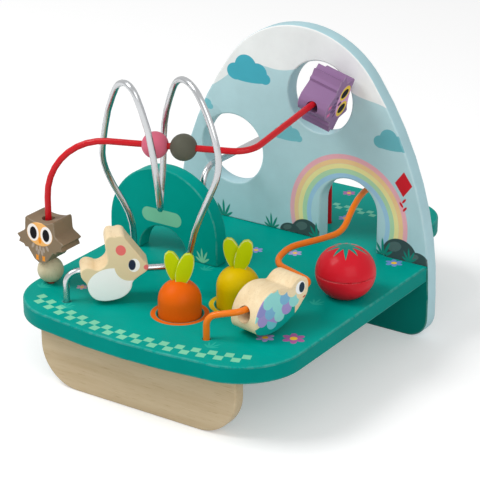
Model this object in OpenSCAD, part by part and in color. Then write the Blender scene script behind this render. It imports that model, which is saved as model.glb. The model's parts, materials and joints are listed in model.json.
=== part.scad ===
// Bead maze: a teal deck on a front foot, an arched back panel with two round
// windows and a doorway, a tunnel arch, four bent wires that carry beads and
// wooden animals, two pull-out vegetables and a tomato whose top turns.
// Millimetres, +Z up. The origin is the middle of the panel's bottom edge.
// The front of the toy faces -Y.

/* [Deck] */
// Width of the deck in front of the panel
deck_w = 264; // [250:1:300]
// How far the deck reaches in front of the panel, to the tip of its bowed edge
deck_reach = 269; // [255:1:300]
// Thickness of the deck board
deck_t = 15; // [13:0.5:20]
// Height of the deck's underside above the floor
leg_h = 55; // [45:1:80]
// Radius of the deck's front corners
deck_corner_r = 56; // [30:1:70]
// How far the deck's front edge bows forward
deck_bow = 6; // [3:0.5:12]
// Width of the shelf behind the panel
shelf_w = 180; // [170:1:200]
// Length of the shelf behind the panel
shelf_l = 117; // [90:1:140]
// Radius of the shelf's rear corners
shelf_corner_r = 45; // [20:1:60]
// Gap around the shelf where it passes through the panel
slot_gap = 0.15; // [0.1:0.05:0.4]

/* [Back panel] */
// Width of the panel at its shoulders
panel_w = 268; // [255:1:300]
// Height of the panel
panel_h = 264; // [250:1:290]
// Thickness of the panel
panel_t = 15; // [12:0.5:18]
// Radius of the panel's round top
panel_top_r = 90; // [75:1:100]
// Height where the panel's sides begin to curve in
panel_shoulder_z = 40; // [30:1:50]
// Radius of the panel's bottom corners
panel_corner_r = 20; // [8:1:28]
// Radius of the round windows
window_r = 32.5; // [30:0.5:36]
// Sideways place of the high window
high_window_x = 20.5; // [10:0.5:28]
// Height of the high window's centre, as a share of the panel's height above the deck
high_window_share = 0.6856; // [0.66:0.001:0.71]
// Sideways place of the low window, to the left
low_window_x = 71; // [64:0.5:78]
// Height of the low window's centre, as a share of the panel's height above the deck
low_window_share = 0.3505; // [0.31:0.001:0.38]
// Sideways place of the doorway
door_x = 51.5; // [46:0.5:60]
// Radius of the doorway's round head
door_r = 29; // [26:0.5:33]
// Height of the doorway's straight sides above the deck
door_spring_h = 34.5; // [28:0.5:40]

/* [Front foot] */
// Width of the foot board
foot_w = 195; // [150:1:210]
// Thickness of the foot board
foot_t = 12; // [10:0.5:18]
// Distance of the foot board behind the tip of the deck's front edge
foot_inset = 21.5; // [15:0.5:40]
// Radius of the foot's lower corners
foot_corner_r = 36; // [20:1:40]

/* [Tunnel arch] */
// Radius of the arch block's round top
arch_r = 57; // [50:1:62]
// Thickness of the arch block
arch_t = 15; // [12:0.5:18]
// Distance of the arch block in front of the panel, as a share of the deck's reach
arch_fwd_share = 0.329; // [0.28:0.001:0.34]
// Height of the arch block's straight sides
arch_spring_h = 22; // [15:0.5:28]
// Radius of the tunnel
tunnel_r = 25.5; // [20:0.5:30]

/* [Wires] */
// Diameter of all wires
wire_d = 5.5; // [4.5:0.1:6]
// How deep a wire's end sits in the deck
socket_depth = 8; // [6:0.5:10]
// Clearance around a wire's end in the deck
socket_fit = 0.05; // [0.02:0.01:0.1]

/* [Red wire] */
// Distance of the red wire's front leg from the deck's left edge
red_side = 13.5; // [11:0.5:18]
// Distance of the red wire's front leg behind the deck's front tip
red_front = 63; // [58:0.5:70]
// Distance of the red wire's turn to the right of the high window's centre
red_out = 23.5; // [18:0.5:26]
// How far the red wire's level stretch is below the high window's centre
red_below = 2; // [0:0.5:6]
// How far the red wire climbs on its way to the high window
red_climb = 21; // [17:0.5:23]
// Distance of the red wire's rear leg behind the panel
red_aft = 25; // [22:0.5:40]
// Bend radius at the top of the red wire's front leg
red_corner_r = 54; // [40:1:58]
// Bend radius where the red wire turns to the panel
red_turn_r = 22; // [12:1:28]
// Bend radius behind the panel
red_hook_r = 10; // [8:0.5:12]

/* [Loop wire] */
// Distance of the loop wire's front leg from the red wire's, as a share of the red wire's width
loop_side_share = 0.2215; // [0.2:0.001:0.25]
// Distance of the loop wire's front leg behind the deck's front tip
loop_front = 39; // [34:0.5:42]
// Width of the two loops, as a share of the red wire's width
loop_w_share = 0.8308; // [0.79:0.001:0.86]
// Depth from the front leg to the rear leg, as a share of the deck's reach
loop_depth_share = 0.3606; // [0.34:0.001:0.38]
// Height of the two loops above the deck, as a share of the panel's height above the deck
loop_h_share = 0.9897; // [0.93:0.001:1.02]
// Height of the loop wire's front run above the deck
loop_run_h = 26.5; // [25:0.5:32]
// Bend radius at the front leg
loop_foot_r = 11; // [7:0.5:11]
// How much of the shorter straight beside it each bend of the loops takes up, as a share of the most it can
loop_bend_share = 0.94; // [0.7:0.01:0.96]

/* [Back wire] */
// Sideways place of the straight wire through the low window, to the left
back_wire_x = 62; // [56:0.5:68]
// Distance of its front leg in front of the panel
back_wire_fwd = 60; // [50:0.5:66]
// How far it runs above the low window's centre
back_wire_above = 1; // [-4:0.5:6]
// Distance of its rear leg behind the panel
back_wire_aft = 47; // [35:0.5:60]
// Bend radius of the straight wire
back_wire_r = 16; // [10:0.5:18]

/* [Orange wire] */
// Sideways place of the orange wire's front leg, right of the doorway's centre
orange_side = 3.7; // [0:0.1:6]
// Distance of the orange wire's front leg behind the deck's front tip
orange_front = 43.5; // [40:0.5:48]
// How far the orange wire swings out to the right
orange_sway = 24; // [20:0.5:27]
// Height of the orange wire above the deck at the doorway
orange_h = 47; // [42:0.5:50]
// Distance of the orange wire's rear leg behind the panel
orange_aft = 47; // [36:0.5:60]
// Bend radius of the orange wire at its legs and at the bird's run
orange_bend_r = 10; // [8:0.5:11]
// How much of the shorter straight beside it each wide bend takes up, as a share of the most it can
orange_bend_share = 0.94; // [0.7:0.01:0.96]

/* [Beads] */
// Diameter of the round beads
bead_d = 22.5; // [18:0.5:24]
// Clearance between a round bead's bore and its wire
bead_fit = 0.35; // [0.3:0.05:0.6]
// Place of the pink bead, as a share of the level stretch's length
pink_share = 0.5427; // [0.52:0.001:0.56]
// Space between the pink and the grey bead
bead_space = 1.5; // [0.5:0.5:4]

/* [Owls] */
// Wing span of an owl
owl_w = 50; // [44:0.5:54]
// Height of an owl
owl_h = 40; // [36:0.5:44]
// Thickness of an owl
owl_t = 25; // [20:0.5:28]
// Bore of an owl
owl_bore = 11; // [8:0.5:12]
// Space between the purple owl's head and the panel
purple_space = 3.5; // [2:0.5:12]
// Size of the purple owl, as a share of the brown one's
purple_share = 1.12; // [1:0.01:1.2]
// Tilt of the purple owl about its wire, in degrees
purple_roll = 17; // [0:1:25]

/* [Bunny] */
// Length of the bunny from tail to nose
bunny_l = 57.5; // [50:0.5:59]
// Height of the bunny from belly to ears
bunny_h = 56; // [48:0.5:58]
// Thickness of the bunny
bunny_t = 25; // [20:0.5:28]
// Bore of the bunny
bunny_bore = 8; // [7:0.5:9]
// Distance of the bunny's bore middle along the front run
bunny_reach = 38.5; // [38:0.5:42]

/* [Bird] */
// Length of the bird from tail to forehead
bird_l = 60; // [52:0.5:62]
// Height of the bird from belly to head top
bird_h = 38; // [32:0.5:40]
// Thickness of the bird
bird_t = 28; // [22:0.5:30]
// Bore of the bird
bird_bore = 14; // [11:0.5:15]
// Distance of the bird's tail along its run
bird_reach = 7; // [6:0.5:9]

/* [Vegetables] */
// Radius of the carrot and of the turnip
veg_r = 18; // [15:0.5:19]
// Height of the carrot's straight side above the deck
carrot_side_h = 12; // [8:0.5:16]
// Height of the turnip's straight side above the deck
turnip_side_h = 16.5; // [10:0.5:18]
// Depth of their sockets in the deck
veg_socket = 9; // [6:0.5:11]
// Clearance around them in their sockets
veg_fit = 0.5; // [0.4:0.05:0.8]
// Sideways place of the carrot
carrot_x = 9.5; // [5:0.5:14]
// Distance of the carrot behind the deck's front tip
carrot_front = 71.5; // [68:0.5:76]
// Sideways place of the turnip
turnip_x = 39.5; // [36:0.5:42]
// Distance of the turnip behind the deck's front tip
turnip_front = 112.5; // [110:0.5:118]
// Width of a leaf
leaf_w = 13.5; // [8:0.5:15]
// Length of a leaf
leaf_l = 31; // [24:0.5:34]
// Thickness of a leaf
leaf_t = 3.5; // [2.5:0.1:4.5]
// How far the leaves are let into the body
leaf_seat = 5; // [4:0.5:7]
// Clearance around the leaves in the body
leaf_fit = 0.05; // [0.02:0.01:0.1]
// Lean of each leaf, in degrees
leaf_lean = 17; // [8:1:24]
// Direction in which the leaves face, in degrees
leaf_turn = 30; // [0:1:60]

/* [Tomato] */
// Distance of the tomato's axis from the deck's right edge
tomato_side = 28; // [26:0.5:34]
// Distance of the tomato in front of the panel, as a share of the deck's reach
tomato_fwd_share = 0.342; // [0.3:0.001:0.4]
// Radius of the tomato's round section
tomato_section_r = 22.9; // [18:0.1:24]
// Distance of that section's centre from the axis
tomato_fat = 2.5; // [1:0.1:5]
// Height of the tomato's seam above the deck
tomato_seam_h = 21.5; // [17:0.5:22.5]
// Gap at the seam
tomato_gap = 0.3; // [0.2:0.05:0.6]
// Diameter of the axle that the tomato's top turns on
axle_d = 8; // [6:0.5:10]
// Radial clearance of the tomato's top on its axle
axle_fit = 0.05; // [0.02:0.01:0.1]
// How far the axle goes into the tomato's top
axle_up = 14; // [8:0.5:17]
// How far the axle goes into the deck
axle_down = 9; // [6:0.5:11]

/* [Hidden] */
$fn = 64;
// Overrun of every cut
over = 1;
// Gap at which a loose piece rests on its seat
rest_gap = 0.3;
// Step along a round outline, in degrees
arc_step = 5;
// Step along a wire's bend, in degrees
bend_step = 10;
// Sides of a wire's round section
wire_sides = 14;
// Share of an edge that a rounding pass takes off each end
round_share = 0.25;
// Share of an edge that a light rounding pass takes off each end
soft_share = 0.1;
// A direction steeper than this share of its length counts as upright
steep_share = 0.9;

deck_z = leg_h + deck_t;
foot_z = deck_z - socket_depth;
deck_front_y = fwd(deck_reach);
deck_left_x = -deck_w / 2;
deck_right_x = deck_w / 2;
panel_clear_h = panel_h - deck_z;
high_window_h = panel_clear_h * high_window_share;
low_window_h = panel_clear_h * low_window_share;
arch_fwd = deck_reach * arch_fwd_share;
red_level_h = high_window_h - red_below;
loop_depth = deck_reach * loop_depth_share;
loop_h = panel_clear_h * loop_h_share;
back_wire_h = low_window_h + back_wire_above;
wire_r = wire_d / 2;
bead_r = bead_d / 2;

// Places in front of the panel's front face and behind its rear face
function fwd(d) = -panel_t / 2 - d;
function aft(d) = panel_t / 2 + d;

function unit(v) = v / norm(v);
function mid(a, b) = (a + b) / 2;
function up_of(w) = unit([0, 0, 1] - w * w[2]);
function side_of(w) = unit(cross(abs(w[2]) < steep_share ? [0, 0, 1] : [1, 0, 0], w));
function rolled(w, n, a) = n * cos(a) + cross(w, n) * sin(a);

// Points of an arc about c from angle a0 to a1
function arc(c, r, a0, a1) =
    let (n = max(2, ceil(abs(a1 - a0) / arc_step)))
    [for (i = [0 : n]) c + r * [cos(a0 + (a1 - a0) * i / n), sin(a0 + (a1 - a0) * i / n)]];

// One rounding pass over a closed outline
function cut_corners(p, k) =
    [for (i = [0 : len(p) - 1])
        let (a = p[i], b = p[(i + 1) % len(p)])
        each [a + (b - a) * k, b - (b - a) * k]];
function rounded(p) = cut_corners(cut_corners(p, round_share), round_share);

// Outline points given as shares of a length and a height
function sized(shares, l, h) = [for (s = shares) [s[0] * l, s[1] * h]];

// Turn of a wire at point i, and how much its bend takes off each side
function turn_at(p, i) = acos(unit(p[i] - p[i - 1]) * unit(p[i + 1] - p[i]));
function cut_at(p, r, i) = i <= 0 || i >= len(p) - 1 ? 0 : r[i - 1] * tan(turn_at(p, i) / 2);

// Bend radius at point i that takes up a share of half the shorter straight beside it
function gentle_r(p, share, i) =
    share * min(norm(p[i] - p[i - 1]), norm(p[i + 1] - p[i])) / 2 / tan(turn_at(p, i) / 2);

// Puts its children's +Z along w at o, with their +X along x
module along(o, w, x) {
    y = cross(w, x);
    multmatrix([[x[0], y[0], w[0], o[0]],
                [x[1], y[1], w[1], o[1]],
                [x[2], y[2], w[2], o[2]],
                [0, 0, 0, 1]])
        children();
}

// Round bar from a to b
module bar(a, b, d) {
    w = unit(b - a);
    along(a, w, side_of(w)) cylinder(h = norm(b - a), d = d);
}

// A vector turned about a unit axis
function spun(v, k, a) = v * cos(a) + cross(k, v) * sin(a) + k * (k * v) * (1 - cos(a));

// Side directions of a wire's straights, carried along without twist
function carried(p, n, i) =
    i >= len(p) - 2 ? [n] :
    let (u = unit(p[i + 1] - p[i]), v = unit(p[i + 2] - p[i + 1]))
    concat([n], carried(p, spun(n, unit(cross(u, v)), acos(u * v)), i + 1));

// Stations along the bend at point i: each a centre, a side direction and a heading
function bend_stations(p, r, n, i) =
    let (u = unit(p[i] - p[i - 1]),
         v = unit(p[i + 1] - p[i]),
         k = unit(cross(u, v)),
         turn = turn_at(p, i),
         c = p[i] + unit(v - u) * r[i - 1] / cos(turn / 2),
         from = p[i] - u * cut_at(p, r, i) - c,
         steps = max(2, ceil(turn / bend_step)))
    [for (j = [0 : steps])
        let (a = turn * j / steps)
        [c + spun(from, k, a), spun(n, k, a), spun(u, k, a)]];

// Wire through the points p with the bend radii r at its inner points
module bent_wire(p, r, d) {
    last = len(p) - 1;
    n = carried(p, side_of(unit(p[1] - p[0])), 0);
    stations = concat(
        [[p[0], n[0], unit(p[1] - p[0])]],
        [for (i = [1 : last - 1]) each bend_stations(p, r, n[i - 1], i)],
        [[p[last], n[last - 1], unit(p[last] - p[last - 1])]]);
    rings = len(stations);
    points = [for (s = stations, i = [0 : wire_sides - 1])
        s[0] + spun(s[1], s[2], 360 * i / wire_sides) * d / 2];
    function at(ring, i) = ring * wire_sides + i % wire_sides;
    skin = [for (j = [0 : rings - 2], i = [0 : wire_sides - 1])
        each [[at(j, i), at(j + 1, i + 1), at(j, i + 1)], [at(j, i), at(j + 1, i), at(j + 1, i + 1)]]];
    ends = [[for (i = [0 : wire_sides - 1]) at(0, i)],
            [for (i = [wire_sides - 1 : -1 : 0]) at(rings - 1, i)]];
    polyhedron(points, concat(skin, ends));
}

// Red wire: up, across, back through the high window and down behind the panel
red_foot = [deck_left_x + red_side, deck_front_y + red_front];
red_l = aft(red_aft) - red_foot[1];
red_w = high_window_x + red_out - red_foot[0];
red_turn_share = 0.244;
red_hook_shares = [0.972, 0.925];
red_drop_shares = [0.778, 0.3];
red_z = deck_z + red_level_h;
red_points = [
    [red_foot[0], red_foot[1], foot_z],
    [red_foot[0], red_foot[1], red_z],
    [red_foot[0] + red_w, red_foot[1] + red_l * red_turn_share, red_z],
    [red_foot[0] + red_w * red_hook_shares[0], red_foot[1] + red_l * red_hook_shares[1], red_z + red_climb],
    [red_foot[0] + red_w * red_drop_shares[0], red_foot[1] + red_l, red_z + red_climb * red_drop_shares[1]],
    [red_foot[0] + red_w * red_drop_shares[0], red_foot[1] + red_l, foot_z]];
red_bends = [red_corner_r, red_turn_r, red_hook_r, red_hook_r];
red_level_l = norm(red_points[2] - red_points[1]);
red_level_dir = (red_points[2] - red_points[1]) / red_level_l;
pink_reach = red_level_l * pink_share;
red_back_dir = unit(red_points[3] - red_points[2]);

// Loop wire: a front run, a high loop, a low turn, a second loop and the rear leg,
// as shares of the loops' width, depth and height
loop_foot = [red_foot[0] + red_w * loop_side_share, deck_front_y + loop_front];
loop_w = red_w * loop_w_share;
loop_run_shares = [[0, 0], [0.57, 0.6878]];
loop_shares = [
    [0.672, 0.566, 0.33],
    [0.892, 0.545, 0.655],
    [0.816, 0.53, 0.856],
    [0.681, 0.57, 0.989],
    [0.494, 0.703, 0.984],
    [0.355, 0.776, 0.783],
    [0.318, 0.822, 0.511],
    [0.298, 0.806, 0.37],
    [0.417, 0.588, 0.379],
    [0.461, 0.472, 0.523],
    [0.446, 0.385, 0.785],
    [0.364, 0.319, 0.981],
    [0.2, 0.44, 0.961],
    [0.035, 0.579, 0.801],
    [-0.084, 0.686, 0.546],
    [-0.082, 0.801, 0.419],
    [0.025, 0.931, 0.235]];
loop_end_shares = [-0.018, 1];
function loop_place(s) =
    [loop_foot[0] + s[0] * loop_w, loop_foot[1] + s[1] * loop_depth, deck_z + s[2] * loop_h];
loop_start = [loop_foot[0], loop_foot[1], foot_z];
loop_end = [loop_foot[0] + loop_end_shares[0] * loop_w,
            loop_foot[1] + loop_end_shares[1] * loop_depth,
            foot_z];
loop_run = [for (s = loop_run_shares)
    [loop_foot[0] + s[0] * loop_w, loop_foot[1] + s[1] * loop_depth, deck_z + loop_run_h]];
loop_points = concat([loop_start], loop_run, [for (s = loop_shares) loop_place(s)], [loop_end]);
loop_bends = concat([loop_foot_r],
    [for (i = [2 : len(loop_points) - 2]) gentle_r(loop_points, loop_bend_share, i)]);
loop_run_dir = unit(loop_points[2] - loop_points[1]);

// Straight wire through the low window
back_wire_points = [
    [-back_wire_x, fwd(back_wire_fwd), foot_z],
    [-back_wire_x, fwd(back_wire_fwd), deck_z + back_wire_h],
    [-back_wire_x, aft(back_wire_aft), deck_z + back_wire_h],
    [-back_wire_x, aft(back_wire_aft), foot_z]];
back_wire_bends = [back_wire_r, back_wire_r];

// Orange wire: shares of its sway, of its length and of its height
orange_foot = [door_x + orange_side, deck_front_y + orange_front];
orange_l = aft(orange_aft) - orange_foot[1];
orange_shares = [
    [0, 0, 0.426],
    [1, 0.04, 0.53],
    [1.719, 0.322, 0.53],
    [-0.155, 0.367, 0.576],
    [-0.214, 0.447, 0.697],
    [0.349, 0.565, 0.678],
    [0.492, 0.663, 0.62],
    [0.188, 0.764, 0.878],
    [0, 0.853, 1],
    [0, 1, 1]];
orange_points = concat(
    [[orange_foot[0], orange_foot[1], foot_z]],
    [for (s = orange_shares)
        [orange_foot[0] + s[0] * orange_sway, orange_foot[1] + s[1] * orange_l, deck_z + s[2] * orange_h]],
    [[orange_foot[0], orange_foot[1] + orange_l, foot_z]]);
orange_bends = concat([orange_bend_r, orange_bend_r, orange_bend_r],
    [for (i = [4 : len(orange_points) - 3]) gentle_r(orange_points, orange_bend_share, i)],
    [orange_bend_r]);
orange_run_dir = unit(orange_points[3] - orange_points[2]);

// Both ends of each wire: where it ends in the deck, and its direction there
function ends_of(p) =
    let (last = len(p) - 1)
    [[p[0], unit(p[1] - p[0])], [p[last], unit(p[last - 1] - p[last])]];
wire_feet = concat(ends_of(red_points), ends_of(loop_points), ends_of(back_wire_points),
                   ends_of(orange_points));

// Places of the standing pieces on the deck
carrot_place = [carrot_x, deck_front_y + carrot_front, deck_z];
turnip_place = [turnip_x, deck_front_y + turnip_front, deck_z];
tomato_place = [deck_right_x - tomato_side, fwd(deck_reach * tomato_fwd_share), deck_z];
arch_x = deck_left_x + arch_r;

// Half of an owl's outline, from its foot up the right side, as shares of half its
// height and half its wing span
owl_half_shares = [
    [-0.975, 0.1], [-0.86, 0.27], [-0.63, 0.4], [-0.385, 0.54], [-0.425, 0.656], [-0.29, 0.71],
    [-0.245, 0.944], [-0.06, 0.86], [0.09, 1], [0.37, 0.64], [0.92, 0.61], [1, 0.57], [0.88, 0.36],
    [0.84, 0.1]];
owl_shares = concat(
    owl_half_shares,
    [for (i = [len(owl_half_shares) - 1 : -1 : 0]) [owl_half_shares[i][0], -owl_half_shares[i][1]]]);

// Outline of the bunny from its tail over the ears to nose and belly, as shares of its
// length and height about the bore
bunny_shares = [
    [-0.47, 0.1], [-0.388, 0.16], [-0.301, 0.14], [-0.232, 0.1], [-0.125, 0.15], [-0.063, 0.25],
    [-0.113, 0.48], [-0.088, 0.62], [0, 0.64], [0.038, 0.605], [0.075, 0.64], [0.163, 0.63],
    [0.2, 0.56], [0.463, 0.19], [0.52, 0.12], [0.476, 0.05], [0.401, 0], [0.326, -0.055],
    [0.269, -0.11], [0.263, -0.2], [0.2, -0.3], [0.075, -0.375], [-0.138, -0.405], [-0.288, -0.36],
    [-0.363, -0.24], [-0.376, -0.11], [-0.457, -0.02]];

// Outline of the bird from its tail along belly, breast, head and back, as shares of
// its length from the tail and of its height about the bore
bird_shares = [
    [-0.045, -0.3], [0, -0.38], [0.11, -0.44], [0.24, -0.47], [0.38, -0.44], [0.5, -0.38], [0.66, -0.27],
    [0.78, -0.12], [0.86, 0.02], [0.93, 0.12], [0.955, 0.27], [0.945, 0.44], [0.88, 0.55], [0.76, 0.56],
    [0.67, 0.49], [0.61, 0.4], [0.54, 0.44], [0.42, 0.49], [0.26, 0.49], [0.12, 0.39], [0.02, 0.23],
    [-0.04, 0.04], [-0.06, -0.16]];

// Deck board outline: bowed front edge, round front corners, shelf behind
deck_straight_x = deck_w / 2 - deck_corner_r;
deck_edge_y = deck_front_y + deck_bow;
bow_r = (deck_straight_x * deck_straight_x + deck_bow * deck_bow) / (2 * deck_bow);
bow_angle = asin(deck_straight_x / bow_r);
function mirrored(p) = [for (i = [len(p) - 1 : -1 : 0]) [-p[i][0], p[i][1]]];
deck_half = concat(
    arc([0, deck_front_y + bow_r], bow_r, -90, -90 + bow_angle),
    arc([deck_straight_x, deck_edge_y + deck_corner_r], deck_corner_r, -90 + bow_angle, 0),
    [[deck_right_x, fwd(0)], [shelf_w / 2, fwd(0)]],
    arc([shelf_w / 2 - shelf_corner_r, aft(shelf_l) - shelf_corner_r], shelf_corner_r, 0, 90));

// Panel outline: base with round corners, sides of one large radius, round top
panel_rise = panel_h - panel_top_r - panel_shoulder_z;
panel_half_w = panel_w / 2;
panel_side_r = (panel_half_w * panel_half_w + panel_rise * panel_rise - panel_top_r * panel_top_r)
    / (2 * (panel_half_w - panel_top_r));
panel_join_angle = atan2(panel_rise, panel_side_r - panel_half_w);
panel_half = concat(
    arc([panel_half_w - panel_corner_r, panel_corner_r], panel_corner_r, -90, 0),
    arc([panel_half_w - panel_side_r, panel_shoulder_z], panel_side_r, 0, panel_join_angle),
    arc([0, panel_h - panel_top_r], panel_top_r, panel_join_angle, 90));

// Extrudes an outline drawn in X and Z through a thickness that ends at y
module upright(y, t) {
    translate([0, y, 0]) rotate([90, 0, 0]) linear_extrude(height = t) children();
}

// A round opening through an upright board
module through(x, z, r, y, t) {
    translate([x, y + over, z]) rotate([90, 0, 0]) cylinder(h = t + 2 * over, r = r);
}

// Flat animal on a wire: its outline's first axis along w, its second along n,
// with a bore along w that reaches from a to b
module animal(o, w, n, t, bore, a, b) {
    difference() {
        along(o, cross(w, n), w) translate([0, 0, -t / 2]) linear_extrude(height = t) children();
        bar(o + w * (a - over), o + w * (b + over), bore);
    }
}

// Round bead threaded on a wire that runs along w
module bead(o, w) {
    difference() {
        translate(o) sphere(r = bead_r);
        bar(o - w * (bead_r + over), o + w * (bead_r + over), wire_d + 2 * bead_fit);
    }
}

module owl(o, w, n, share = 1) {
    half_h = owl_h * share / 2;
    animal(o, w, n, owl_t * share, owl_bore, -half_h, half_h)
        polygon(cut_corners(sized(owl_shares, half_h, owl_w * share / 2), soft_share));
}

// Two leaves that lean apart, one behind the other
module leaves(place, side_h) {
    translate(place) {
        leaf_at(1, side_h);
        leaf_at(-1, side_h);
    }
}

// One leaf that leans to side s, in front of or behind the pair's middle plane
module leaf_at(s, side_h, g = 0) {
    rotate([0, 0, leaf_turn])
        translate([0, s > 0 ? 0 : leaf_t, side_h + veg_r - leaf_seat])
            rotate([0, s * leaf_lean, 0])
                translate([0, g, 0])
                    rotate([90, 0, 0])
                        linear_extrude(height = leaf_t + 2 * g)
                            translate([0, leaf_l / 2])
                                polygon([for (i = [0 : arc_step : 360 - arc_step])
                                    [cos(i) * (leaf_w / 2 + g), sin(i) * (leaf_l / 2 + g)]]);
}

// Peg with a round top that stands in its socket
module vegetable(place, side_h) {
    translate(place)
        difference() {
            union() {
                translate([0, 0, rest_gap - veg_socket])
                    cylinder(h = veg_socket + side_h - rest_gap, r = veg_r);
                translate([0, 0, side_h])
                    intersection() {
                        sphere(r = veg_r);
                        translate([-veg_r - over, -veg_r - over, 0])
                            cube([2 * (veg_r + over), 2 * (veg_r + over), veg_r + over]);
                    }
            }
            leaf_at(1, side_h, leaf_fit);
            leaf_at(-1, side_h, leaf_fit);
        }
}

// Tomato between two heights above the deck
module tomato_slice(low, high, bore) {
    translate(tomato_place)
        difference() {
            rotate_extrude()
                union() {
                    translate([0, low]) square([tomato_fat, high - low]);
                    intersection() {
                        translate([tomato_fat, tomato_seam_h]) circle(r = tomato_section_r);
                        translate([tomato_fat, low]) square([tomato_section_r + over, high - low]);
                    }
                }
            translate([0, 0, -over]) cylinder(h = tomato_seam_h + axle_up + over, d = bore);
        }
}

module deck() {
    color("#0d9a8c")
        difference() {
            translate([0, 0, leg_h]) linear_extrude(height = deck_t) polygon(concat(deck_half, mirrored(deck_half)));
            for (f = wire_feet)
                bar(f[0] - f[1] * socket_fit, f[0] + f[1] * (socket_depth + wire_d), wire_d + 2 * socket_fit);
            for (v = [carrot_place, turnip_place])
                translate(v - [0, 0, veg_socket]) cylinder(h = veg_socket + over, r = veg_r + veg_fit);
            translate(tomato_place - [0, 0, axle_down])
                cylinder(h = axle_down + over, d = axle_d + 2 * axle_fit);
        }
}

module back_panel() {
    color("#a3c9cc")
        difference() {
            upright(aft(0), panel_t) polygon(concat(panel_half, mirrored(panel_half)));
            through(high_window_x, deck_z + high_window_h, window_r, aft(0), panel_t);
            through(-low_window_x, deck_z + low_window_h, window_r, aft(0), panel_t);
            through(door_x, deck_z + door_spring_h, door_r, aft(0), panel_t);
            translate([door_x - door_r, fwd(over), deck_z])
                cube([2 * door_r, panel_t + 2 * over, door_spring_h]);
            translate([-shelf_w / 2 - slot_gap, fwd(over), leg_h - slot_gap])
                cube([shelf_w + 2 * slot_gap, panel_t + 2 * over, deck_t + 2 * slot_gap]);
        }
}

module front_foot() {
    half = concat(
        arc([foot_w / 2 - foot_corner_r, foot_corner_r], foot_corner_r, -90, 0),
        [[foot_w / 2, leg_h]]);
    color("#d9c49a")
        upright(deck_front_y + foot_inset + foot_t, foot_t) polygon(concat(half, mirrored(half)));
}

module tunnel_arch() {
    top = arc([arch_x, deck_z + arch_spring_h], arch_r, 0, 180);
    color("#0b8f83")
        difference() {
            upright(fwd(arch_fwd), arch_t)
                polygon(concat([[arch_x + arch_r, deck_z]], top, [[arch_x - arch_r, deck_z]]));
            through(arch_x, deck_z, tunnel_r, fwd(arch_fwd), arch_t);
        }
}

module red_wire() {
    color("#c8141e") bent_wire(red_points, red_bends, wire_d);
}

module loop_wire() {
    color("#c9ccd0") bent_wire(loop_points, loop_bends, wire_d);
}

module back_wire() {
    color("#c9ccd0") bent_wire(back_wire_points, back_wire_bends, wire_d);
}

module orange_wire() {
    color("#e66e0f") bent_wire(orange_points, orange_bends, wire_d);
}

module cream_bead() {
    color("#d8cba6") bead([red_foot[0], red_foot[1], deck_z + rest_gap + bead_r], [0, 0, 1]);
}

// Upright on the red wire's front leg, on top of the cream bead
module brown_owl() {
    bottom_share = 0.975;
    // The bead's crown reaches this far up into the owl's bore
    crown = bead_r - sqrt(bead_r * bead_r - owl_bore * owl_bore / 4);
    color("#8a745c")
        owl([red_foot[0], red_foot[1], deck_z + 2 * rest_gap + bead_d - crown + bottom_share * owl_h / 2],
            [0, 0, 1], [1, 0, 0]);
}

module pink_bead() {
    color("#d0667c") bead(red_points[1] + red_level_dir * pink_reach, red_level_dir);
}

module grey_bead() {
    color("#55554a")
        bead(red_points[1] + red_level_dir * (pink_reach + bead_d + bead_space), red_level_dir);
}

// Hangs on the red wire in front of the high window, head towards the panel
module purple_owl() {
    w = red_back_dir;
    n = up_of(w);
    hang = owl_bore / 2 - wire_r - rest_gap;
    centre_y = fwd(purple_space + owl_h * purple_share / 2);
    o = red_points[2] + w * ((centre_y - red_points[2][1]) / w[1]) - n * hang;
    color("#916e96") owl(o, w, rolled(w, n, purple_roll), purple_share);
}

module bunny() {
    w = loop_run_dir;
    n = up_of(w);
    o = loop_points[1] + w * bunny_reach - n * (bunny_bore / 2 - wire_r - rest_gap);
    color("#e3c9a2")
        animal(o, w, n, bunny_t, bunny_bore, -bunny_l / 2, bunny_l)
            polygon(rounded(sized(bunny_shares, bunny_l, bunny_h)));
}

module bird() {
    w = orange_run_dir;
    n = up_of(w);
    o = orange_points[2] + w * bird_reach - n * (bird_bore / 2 - wire_r - rest_gap);
    color("#ead2a8")
        animal(o, w, n, bird_t, bird_bore, -bird_l / 2, bird_l)
            polygon(rounded(sized(bird_shares, bird_l, bird_h)));
}

module carrot_body() {
    color("#cd5a14") vegetable(carrot_place, carrot_side_h);
}

module carrot_leaves() {
    color("#aabe0a") leaves(carrot_place, carrot_side_h);
}

module turnip_body() {
    color("#d7b400") vegetable(turnip_place, turnip_side_h);
}

module turnip_leaves() {
    color("#aabe0a") leaves(turnip_place, turnip_side_h);
}

module tomato_base() {
    color("#c02634") tomato_slice(0, tomato_seam_h, axle_d + 2 * axle_fit);
}

module tomato_axle() {
    color("#d8cba6")
        translate(tomato_place - [0, 0, axle_down])
            cylinder(h = axle_down + tomato_seam_h + axle_up - rest_gap, d = axle_d);
}

module tomato_top() {
    color("#d72837")
        tomato_slice(tomato_seam_h + tomato_gap, tomato_seam_h + tomato_section_r, axle_d + 2 * axle_fit);
}

deck();
back_panel();
front_foot();
tunnel_arch();
red_wire();
loop_wire();
back_wire();
orange_wire();
cream_bead();
brown_owl();
pink_bead();
grey_bead();
purple_owl();
bunny();
bird();
carrot_body();
carrot_leaves();
turnip_body();
turnip_leaves();
tomato_base();
tomato_axle();
tomato_top();
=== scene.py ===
# %% [markdown]
# # A bead maze toy
# A teal deck stands on a foot board and an arched back panel. Four bent wires carry
# beads and wooden animals, two vegetables pull out of the deck and the top of a
# tomato turns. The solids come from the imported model; this lesson gives them the
# softened edges, paint, print, bare wood and metal of the real toy.

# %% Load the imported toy
import json
import math

import bmesh
import bpy
from mathutils import Matrix, Vector


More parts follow.
